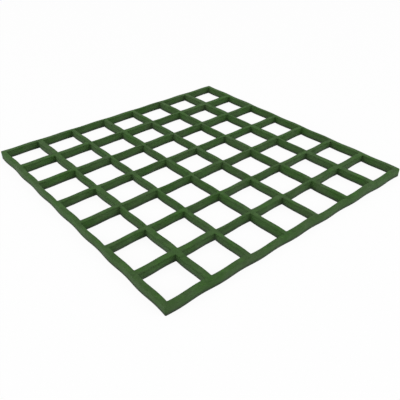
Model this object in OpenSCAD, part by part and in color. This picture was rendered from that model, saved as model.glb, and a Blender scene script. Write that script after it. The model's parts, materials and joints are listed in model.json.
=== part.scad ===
// Grass paver grid: one moulded square panel of wavy bars that cross at right angles and
// leave square cells, open at top and bottom, for soil and grass. Most cells narrow a little
// towards the top; those of two columns and two rows open wider there instead.
// It lies flat. The underside is at z = 0, +Z is up and the origin is the panel's middle.

/* [Grid] */
// Distance between the middle lines of neighbouring bars
cell_pitch = 86; // [60:1:120]
// Number of cells along each side of the panel
cells_per_side = 7; // [1:1:9]
// Height of the bars
grid_height = 18; // [10:0.5:30]
// How far the outer face stands beyond the middle line of the outermost bars
edge_reach = 4; // [2:0.5:8]

/* [Bars] */
// Width of a bar at its top, before the rim is eased
bar_top_width = 12; // [10:0.5:15]
// Width of a bar at its underside, where it is slimmer
bar_bottom_width = 8; // [5:0.5:12]
// How far a bar swings to each side of its middle line between two crossings
wave_swing = 0.9; // [0:0.1:3]
// Width and height of the eased edge along the top of each bar and of the panel
rim_easing = 1.4; // [0.4:0.1:2.2]

/* [Cells] */
// Radius in the corners of a cell
corner_radius = 2.5; // [2.5:0.5:6]
// How far each wall of a wide cell stands back at its top, against the other cells
wide_flare = 3.3; // [0:0.1:4]
// Number of rows and columns from the panel's middle to those that hold the wide cells
wide_line = 1; // [0:1:3]

/* [Hidden] */

// Straight steps that follow one wave along a bar, and steps round a cell's corner
steps_per_wave = 6;
steps_per_corner = 2;
// How far a cutter runs past the face that it opens
overrun = 1;
full_turn = 360;
quarter_turn = 90;

grid_half = cells_per_side * cell_pitch / 2;
panel_half = grid_half + edge_reach;
cell_top_half = (cell_pitch - bar_top_width) / 2;
cell_bottom_half = (cell_pitch - bar_bottom_width) / 2;
rim_foot = grid_height - rim_easing;

// A point of the straight grid, moved to where the waves of the bars put it. The waves turn
// each crossing a little clockwise and swing every bar once between two crossings.
function waved(p, shift) =
    let (along = full_turn / cell_pitch)
    [
        p.x - wave_swing * sin(along * (p.y - shift)),
        p.y + wave_swing * sin(along * (p.x - shift))
    ];

// One straight side, from start towards the next corner, in even steps
function side_points(start, end, steps) =
    [for (k = [0 : steps]) start + (end - start) * k / steps];

// The outline of one cell: four sides and four round corners, counter-clockwise
function cell_outline(half, radius) =
    let (reach = half - radius)
    [
        for (side = [0 : 3])
            let (turn = side * quarter_turn)
            each concat(
                [
                    for (p = side_points([half, -reach], [half, reach], steps_per_wave))
                        turned(p, turn)
                ],
                [
                    for (k = [1 : steps_per_corner - 1])
                        let (a = quarter_turn * k / steps_per_corner)
                        turned([reach + radius * cos(a), reach + radius * sin(a)], turn)
                ]
            )
    ];

// The wavy outline of the whole panel, moved outwards by reach
function panel_outline(reach) =
    let (steps = cells_per_side * steps_per_wave)
    [
        for (side = [0 : 3])
            for (k = [0 : steps - 1])
                let (
                    turn = side * quarter_turn,
                    p = turned([panel_half, panel_half * (2 * k / steps - 1)], turn)
                )
                waved(p, wave_shift) + turned([reach, k == 0 ? -reach : 0], turn)
    ];

function turned(p, angle) =
    [p.x * cos(angle) - p.y * sin(angle), p.x * sin(angle) + p.y * cos(angle)];

// A solid skinned over level outlines that have equally many points. A closed one runs on
// from its last outline to its first, as a ring does, and needs no caps.
module lofted(outlines, heights, closed = false) {
    sides = len(outlines[0]);
    levels = len(outlines);
    caps = [[for (k = [0 : sides - 1]) k], [for (k = [sides - 1 : -1 : 0]) (levels - 1) * sides + k]];
    polyhedron(
        points = [
            for (level = [0 : levels - 1])
                for (p = outlines[level]) [p.x, p.y, heights[level]]
        ],
        faces = [
            each closed ? [] : caps,
            for (level = [0 : levels - (closed ? 1 : 2)])
                for (k = [0 : sides - 1])
                    let (
                        below = level * sides,
                        above = (level + 1) % levels * sides,
                        next = (k + 1) % sides
                    )
                    each [[below + k, above + k, above + next], [below + k, above + next, below + next]]
        ],
        convexity = 4
    );
}

// The walls lean: half the width, at height z, of a cell that stands back by flare at its top
function cell_half(z, flare) =
    cell_bottom_half + (cell_top_half + flare - cell_bottom_half) * z / grid_height;

// Whether a row or column, counted from 0, holds the wide cells
function is_wide(line) = floor(abs(line - (cells_per_side - 1) / 2)) == wide_line;

// The waves start from the crossings, which are half a pitch off the panel's middle lines
// when the number of cells is odd and on them when it is even
wave_shift = (cells_per_side + 1) % 2 * cell_pitch / 2;

// The space of one cell, from below the underside to above the top. Above the rim's foot it
// opens at half a right angle along the eased edge.
module cell_space(flare) {
    rim_half = cell_half(rim_foot, flare);
    halves = [cell_half(-overrun, flare), rim_half, rim_half + rim_easing + overrun];
    lofted(
        [
            for (half = halves)
                [for (p = cell_outline(half, corner_radius)) waved(p, 0)]
        ],
        [-overrun, rim_foot, grid_height + overrun]
    );
}

// The panel before its cells are opened
module panel_body() {
    linear_extrude(height = grid_height)
        polygon(panel_outline(0));
}

// A ring that takes the eased edge off the panel's outer rim
module rim_cut() {
    lofted(
        [for (reach = [overrun, overrun, -rim_easing - overrun]) panel_outline(reach)],
        [rim_foot - overrun, grid_height + overrun, grid_height + overrun],
        closed = true
    );
}

module paver_grid() {
    function place(line) = (line + 1 / 2) * cell_pitch - grid_half;
    color("darkgreen")
        difference() {
            panel_body();
            rim_cut();
            for (column = [0 : cells_per_side - 1])
                for (row = [0 : cells_per_side - 1])
                    translate([place(column), place(row), 0])
                        cell_space(is_wide(column) || is_wide(row) ? wide_flare : 0);
        }
}

paver_grid();
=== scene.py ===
"""Looks for the grass paver grid: a finely moulded panel, its plastic, a studio floor,
soft light and the camera. Lengths are in metres, +Z is up, the underside is at z = 0."""
import json
import math

import bmesh
import bpy
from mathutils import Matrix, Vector


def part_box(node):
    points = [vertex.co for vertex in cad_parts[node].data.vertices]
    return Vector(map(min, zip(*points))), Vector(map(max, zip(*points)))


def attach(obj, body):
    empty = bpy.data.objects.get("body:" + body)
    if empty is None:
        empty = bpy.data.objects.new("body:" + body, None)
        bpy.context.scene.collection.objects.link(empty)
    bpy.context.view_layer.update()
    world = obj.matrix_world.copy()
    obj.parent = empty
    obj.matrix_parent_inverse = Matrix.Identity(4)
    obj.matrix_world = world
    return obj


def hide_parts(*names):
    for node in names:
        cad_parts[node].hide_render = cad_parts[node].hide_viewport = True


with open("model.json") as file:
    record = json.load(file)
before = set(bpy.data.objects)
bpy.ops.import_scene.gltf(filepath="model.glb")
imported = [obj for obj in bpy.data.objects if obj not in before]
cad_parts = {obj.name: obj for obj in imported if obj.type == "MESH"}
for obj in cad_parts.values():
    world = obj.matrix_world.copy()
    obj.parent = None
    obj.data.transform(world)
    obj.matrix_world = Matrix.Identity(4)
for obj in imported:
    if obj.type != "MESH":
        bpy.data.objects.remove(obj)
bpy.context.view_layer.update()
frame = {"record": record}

NODE = "paver_grid"
MM = 0.001
QUARTER_TURN = math.pi / 2

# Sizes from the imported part. Its mounts lie on a crossing, half a pitch off the middle
high_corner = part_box(NODE)[1]
mount_places = {m["name"]: m["pos_m"] for m in frame["record"]["mounts"]}
PITCH = 2 * mount_places["top_face"][0]
HEIGHT = high_corner[2]
CELLS = round(2 * high_corner[0] / PITCH)

# Bars: their width at the top and at the foot, and how far they swing to each side
BAR_TOP = 12 * MM
BAR_BOTTOM = 8 * MM
SWING = 0.9 * MM
PANEL_HALF = high_corner[0] - SWING

# How far the walls of a wide cell stand back at the top, and its line counted from the middle
WIDE_FLARE = 3.3 * MM
WIDE_LINE = 1

# Radii of the moulded edges and corners, and the flat strip that runs along each edge
RIM_RADIUS = 1.5 * MM
FOOT_RADIUS = 0.25 * MM
CELL_CORNER = 1.2 * MM
PANEL_CORNER = 2.1 * MM
FLAT_MARGIN = 0.3 * MM

# Shallow groove under the rim of each cell: its depth, its bevels, and where it starts and
# ends below the top
GROOVE_DEPTH = 0.6 * MM
GROOVE_BEVEL = 0.3 * MM
GROOVE_START = 2.0 * MM
GROOVE_END = 4.2 * MM

# Fineness of the mesh: steps along the side of a cell, round a corner and round an edge
SIDE_STEPS = 16
CORNER_STEPS = 4
RIM_STEPS = 6
FOOT_STEPS = 2

# Colours of the plastic: its two greens, and the tints that its hue drifts between
DARK_GREEN = (0.0165, 0.052, 0.005)
LIGHT_GREEN = (0.035, 0.100, 0.0135)
PURE_TINT = (0.70, 1.0, 0.2)
GREY_TINT = (1.30, 1.0, 1.8)

# Painted shade at the feet: how dark the colour is painted at the floor, and how high up it reaches
FOOT_PAINTED_SHADE = 0.06
FOOT_PAINTED_SHADE_HEIGHT = 8 * MM

# Patterns of the plastic, as the scale, detail and roughness of a noise
MOTTLE = (85.0, 5.0, 0.8)
DRIFT = (26.0, 3.0, 0.6)
WEAR = (45.0, 4.0, 0.6)
FLOW = (140.0, 3.0, 0.5)
GRAIN = (900.0, 2.0, 0.5)

# Squeezed upwards, the patches of the mottle run along the bars
MOTTLE_SQUEEZE = (1.0, 1.0, 7.0)

# Stretch of a noise's values over which a colour or a roughness changes
MOTTLE_SPAN = (0.36, 0.64)
WIDE_SPAN = (0.3, 0.7)
FULL_SPAN = (0.0, 1.0)

# Surface of the plastic: least and greatest roughness, reflection, and height of its bumps
ROUGHNESS_RANGE = (0.76, 0.94)
SPECULAR_LEVEL = 0.48
FLOW_HEIGHT = 0.6 * MM
GRAIN_HEIGHT = 0.08 * MM

# Floor: how pale it is as it lights the panel, and the share of plain white where it is seen
FLOOR_HALF = 12.0
FLOOR_PALE = 0.85
FLOOR_WHITE = 0.93
FLOOR_ROUGHNESS = 0.9

# Light: two soft boxes, each turned this far from the camera's side, and an even surround
BOX_TURN = math.radians(70)
BOX_RISE = math.radians(35)
BOX_DISTANCE = 8.0
BOX_SIZE = 5.5
BOX_POWER = 370
SURROUND = 0.28

# Camera, fitted to the openings and the outline of the photograph
CAMERA_PLACE = Vector((-6.842, -8.382, 6.333)) * PITCH
CAMERA_AIM = Vector((-0.850, -1.231, 0.0)) * PITCH
FOCAL_PIXELS = 495.6
PICTURE_PIXELS = 400


def waved(x, y):
    """A point of the straight grid, moved to where the waves of the bars put it."""
    along = 2 * math.pi / PITCH
    return x - SWING * math.sin(along * y), y + SWING * math.sin(along * x)


def cell_half(z, flare):
    """Half the width, at height z, of a cell that stands back by flare at its top."""
    bar = BAR_BOTTOM + (BAR_TOP - 2 * flare - BAR_BOTTOM) * z / HEIGHT
    return (PITCH - bar) / 2


def cell_flare(i, j):
    """The cells of two columns and two rows open wider at the top than the others."""
    wide = any(abs(line - (CELLS - 1) / 2) == WIDE_LINE for line in (i, j))
    return WIDE_FLARE if wide else 0.0


def square_outline(half, radius, side_steps):
    """A square with round corners, counter-clockwise, in even steps along each side."""
    reach = half - radius
    points = []
    for cos, sin in ((1, 0), (0, 1), (-1, 0), (0, -1)):
        local = [(half, reach * (2 * k / side_steps - 1)) for k in range(side_steps + 1)]
        for k in range(1, CORNER_STEPS):
            a = QUARTER_TURN * k / CORNER_STEPS
            local.append((reach + radius * math.cos(a), reach + radius * math.sin(a)))
        points += [(x * cos - y * sin, x * sin + y * cos) for x, y in local]
    return points


def wall_section(grooved):
    """The section of a wall from underside to top, as (distance back from the wall, height)."""
    section = [(FOOT_RADIUS + FLAT_MARGIN, 0.0)]
    for k in range(FOOT_STEPS + 1):
        a = QUARTER_TURN * k / FOOT_STEPS
        section.append((FOOT_RADIUS * (1 - math.sin(a)), FOOT_RADIUS * (1 - math.cos(a))))
    if grooved:
        low, high = HEIGHT - GROOVE_END, HEIGHT - GROOVE_START
        section += [
            (0.0, low - GROOVE_BEVEL),
            (0.0, low),
            (GROOVE_DEPTH, low + GROOVE_BEVEL),
            (GROOVE_DEPTH, high - GROOVE_BEVEL),
            (0.0, high),
        ]
    for k in range(RIM_STEPS + 1):
        a = QUARTER_TURN * k / RIM_STEPS
        section.append((RIM_RADIUS * (1 - math.cos(a)), HEIGHT - RIM_RADIUS * (1 - math.sin(a))))
    section.append((RIM_RADIUS + FLAT_MARGIN, HEIGHT))
    return section


def skin_wall(mesh, rings):
    """Quads between neighbouring rings of points. Gives back the lowest and the highest ring."""
    made = [[mesh.verts.new(p) for p in ring] for ring in rings]
    for lower, upper in zip(made, made[1:]):
        for k in range(len(lower)):
            n = (k + 1) % len(lower)
            mesh.faces.new((lower[k], lower[n], upper[n], upper[k]))
    return made[0], made[-1]


def ring_edges(mesh, ring):
    """The edges that run round a ring of points."""
    return [mesh.edges.get((ring[k - 1], ring[k])) for k in range(len(ring))]


def panel_mesh():
    """The whole panel: the walls of the cells and of the edge, and the flats between them."""
    mesh = bmesh.new()
    section = wall_section(grooved=True)
    lowest, highest = [], []
    for i in range(CELLS):
        for j in range(CELLS):
            cx, cy = ((k - (CELLS - 1) / 2) * PITCH for k in (i, j))
            rings = []
            for back, z in section:
                half = cell_half(z, cell_flare(i, j)) + back
                outline = square_outline(half, CELL_CORNER + back, SIDE_STEPS)
                rings.append([(*waved(cx + x, cy + y), z) for x, y in reversed(outline)])
            bottom, top = skin_wall(mesh, rings)
            lowest += ring_edges(mesh, bottom)
            highest += ring_edges(mesh, top)
    rings = []
    for back, z in wall_section(grooved=False):
        outline = square_outline(PANEL_HALF - back, PANEL_CORNER - back, CELLS * SIDE_STEPS)
        rings.append([(*waved(x, y), z) for x, y in outline])
    bottom, top = skin_wall(mesh, rings)
    lowest += ring_edges(mesh, bottom)
    highest += ring_edges(mesh, top)
    for edges, normal in ((lowest, (0, 0, -1)), (highest, (0, 0, 1))):
        bmesh.ops.triangle_fill(mesh, use_beauty=True, use_dissolve=False, edges=edges, normal=normal)
    bmesh.ops.recalc_face_normals(mesh, faces=mesh.faces)
    return mesh


def new_object(name, mesh, material):
    """A smooth-shaded object of one material from a finished mesh."""
    data = bpy.data.meshes.new(name)
    mesh.to_mesh(data)
    mesh.free()
    for face in data.polygons:
        face.use_smooth = True
    data.materials.append(material)
    thing = bpy.data.objects.new(name, data)
    bpy.context.scene.collection.objects.link(thing)
    return thing


def node_tree(name):
    """A new material with its shader: (material, nodes, links, shader)."""
    material = bpy.data.materials.new(name)
    material.use_nodes = True
    nodes = material.node_tree.nodes
    return material, nodes, material.node_tree.links, nodes["Principled BSDF"]


def feed(links, value, socket):
    """Gives a socket its value, which is another socket or a constant."""
    if isinstance(value, bpy.types.NodeSocket):
        links.new(value, socket)
    else:
        socket.default_value = value


def maths(nodes, links, operation, first, second):
    """A maths node on a socket and either another socket or a number."""
    node = nodes.new("ShaderNodeMath")
    node.operation = operation
    links.new(first, node.inputs[0])
    feed(links, second, node.inputs[1])
    return node.outputs[0]


def product(nodes, links, first, second):
    """A colour or place, multiplied by another one or by three numbers."""
    node = nodes.new("ShaderNodeVectorMath")
    node.operation = "MULTIPLY"
    links.new(first, node.inputs[0])
    feed(links, second, node.inputs[1])
    return node.outputs["Vector"]


def noise(nodes, links, coordinates, pattern):
    """A noise between 0 and 1 of this scale, detail and roughness."""
    node = nodes.new("ShaderNodeTexNoise")
    for socket, value in zip(("Scale", "Detail", "Roughness"), pattern):
        node.inputs[socket].default_value = value
    links.new(coordinates, node.inputs["Vector"])
    return node.outputs["Fac"]


def ramp(nodes, links, value, span, colours):
    """Runs from the first colour to the second while the value rises over the span."""
    node = nodes.new("ShaderNodeValToRGB")
    for point, position, colour in zip(node.color_ramp.elements, span, colours):
        point.position = position
        point.color = (*colour, 1)
    links.new(value, node.inputs["Fac"])
    return node.outputs["Color"]


def grey(level):
    """A colour without hue."""
    return (level, level, level)


def bump(nodes, links, value, height, under=None):
    """A bump of this height from a value between 0 and 1, on top of another one."""
    node = nodes.new("ShaderNodeBump")
    node.inputs["Distance"].default_value = height
    links.new(value, node.inputs["Height"])
    if under is not None:
        links.new(under, node.inputs["Normal"])
    return node.outputs["Normal"]


def seen_rays(nodes, links):
    """1 where a ray makes something seen: from the camera, in a reflection or through glass."""
    rays = nodes.new("ShaderNodeLightPath").outputs
    seen = rays["Is Camera Ray"]
    for ray in ("Is Glossy Ray", "Is Transmission Ray"):
        seen = maths(nodes, links, "MAXIMUM", seen, rays[ray])
    return seen


def green_plastic():
    """Dark green recycled polymer: mottled, matt, with a fine moulded grain, and painted shade that
    darkens its feet.
    """
    material, nodes, links, shader = node_tree("green_plastic_with_painted_shade")
    texture = nodes.new("ShaderNodeTexCoord")
    coordinates = texture.outputs["Object"]

    squeezed = product(nodes, links, coordinates, MOTTLE_SQUEEZE)
    mottle = noise(nodes, links, squeezed, MOTTLE)
    green = ramp(nodes, links, mottle, MOTTLE_SPAN, (DARK_GREEN, LIGHT_GREEN))
    drift = noise(nodes, links, coordinates, DRIFT)
    tint = ramp(nodes, links, drift, WIDE_SPAN, (PURE_TINT, GREY_TINT))
    parts = nodes.new("ShaderNodeSeparateXYZ")
    links.new(coordinates, parts.inputs["Vector"])
    # Painted shade: the base colour is darkened towards the floor, over the lowest few millimetres of
    # every wall
    painted_shade_rise = maths(nodes, links, "DIVIDE", parts.outputs["Z"], FOOT_PAINTED_SHADE_HEIGHT)
    painted_foot_shade = ramp(nodes, links, painted_shade_rise, FULL_SPAN, (grey(FOOT_PAINTED_SHADE), grey(1.0)))
    colour = product(nodes, links, product(nodes, links, green, tint), painted_foot_shade)
    links.new(colour, shader.inputs["Base Color"])

    wear = noise(nodes, links, coordinates, WEAR)
    rough = ramp(nodes, links, wear, WIDE_SPAN, [grey(level) for level in ROUGHNESS_RANGE])
    links.new(rough, shader.inputs["Roughness"])
    shader.inputs["Specular IOR Level"].default_value = SPECULAR_LEVEL

    flow = bump(nodes, links, noise(nodes, links, coordinates, FLOW), FLOW_HEIGHT)
    grain = bump(nodes, links, noise(nodes, links, coordinates, GRAIN), GRAIN_HEIGHT, flow)
    links.new(grain, shader.inputs["Normal"])
    return material


def white_floor():
    """A pale floor. Where it is seen it is white, with the object's shadow on it."""
    material, nodes, links, shader = node_tree("studio_floor")
    seen = seen_rays(nodes, links)
    links.new(maths(nodes, links, "MAXIMUM", seen, FLOOR_PALE), shader.inputs["Base Color"])
    shader.inputs["Roughness"].default_value = FLOOR_ROUGHNESS
    shader.inputs["Specular IOR Level"].default_value = 0.0
    glow = nodes.new("ShaderNodeEmission")
    mix = nodes.new("ShaderNodeMixShader")
    white = maths(nodes, links, "MULTIPLY", seen, FLOOR_WHITE)
    links.new(white, mix.inputs["Fac"])
    links.new(shader.outputs["BSDF"], mix.inputs[1])
    links.new(glow.outputs["Emission"], mix.inputs[2])
    links.new(mix.outputs["Shader"], nodes["Material Output"].inputs["Surface"])
    return material


def make_floor():
    """One large level square under the panel."""
    mesh = bmesh.new()
    bmesh.ops.create_grid(mesh, x_segments=1, y_segments=1, size=FLOOR_HALF)
    floor = new_object("floor", mesh, white_floor())


def make_camera():
    """The camera of the photograph."""
    data = bpy.data.cameras.new("camera")
    data.lens = data.sensor_width * FOCAL_PIXELS / PICTURE_PIXELS
    camera = bpy.data.objects.new("camera", data)
    camera.location = CAMERA_PLACE
    camera.rotation_euler = (CAMERA_AIM - CAMERA_PLACE).to_track_quat("-Z", "Y").to_euler()
    bpy.context.scene.collection.objects.link(camera)
    bpy.context.scene.camera = camera


def soft_box(name, side):
    """A soft box beside the camera, on one side (1 or -1), that shines on the panel's middle."""
    azimuth = math.atan2(CAMERA_PLACE.y, CAMERA_PLACE.x) + side * BOX_TURN
    level = math.cos(BOX_RISE)
    towards = Vector((level * math.cos(azimuth), level * math.sin(azimuth), math.sin(BOX_RISE)))
    data = bpy.data.lights.new(name, "AREA")
    data.size = BOX_SIZE
    data.energy = BOX_POWER
    lamp = bpy.data.objects.new(name, data)
    lamp.location = towards * BOX_DISTANCE
    lamp.rotation_euler = (-towards).to_track_quat("-Z", "Y").to_euler()
    bpy.context.scene.collection.objects.link(lamp)


def make_world():
    """An even surround: plain white where it is seen, dimmer as a light."""
    world = bpy.data.worlds.new("studio")
    world.use_nodes = True
    nodes, links = world.node_tree.nodes, world.node_tree.links
    background = nodes["Background"]
    background.inputs["Color"].default_value = (1, 1, 1, 1)
    strength = maths(nodes, links, "MAXIMUM", seen_rays(nodes, links), SURROUND)
    links.new(strength, background.inputs["Strength"])
    bpy.context.scene.world = world


panel = new_object("moulded_panel", panel_mesh(), green_plastic())
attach(panel, "root")
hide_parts(NODE)
make_floor()
make_camera()
soft_box("right_box", 1)
soft_box("left_box", -1)
make_world()
bpy.context.scene.view_settings.view_transform = "Standard"
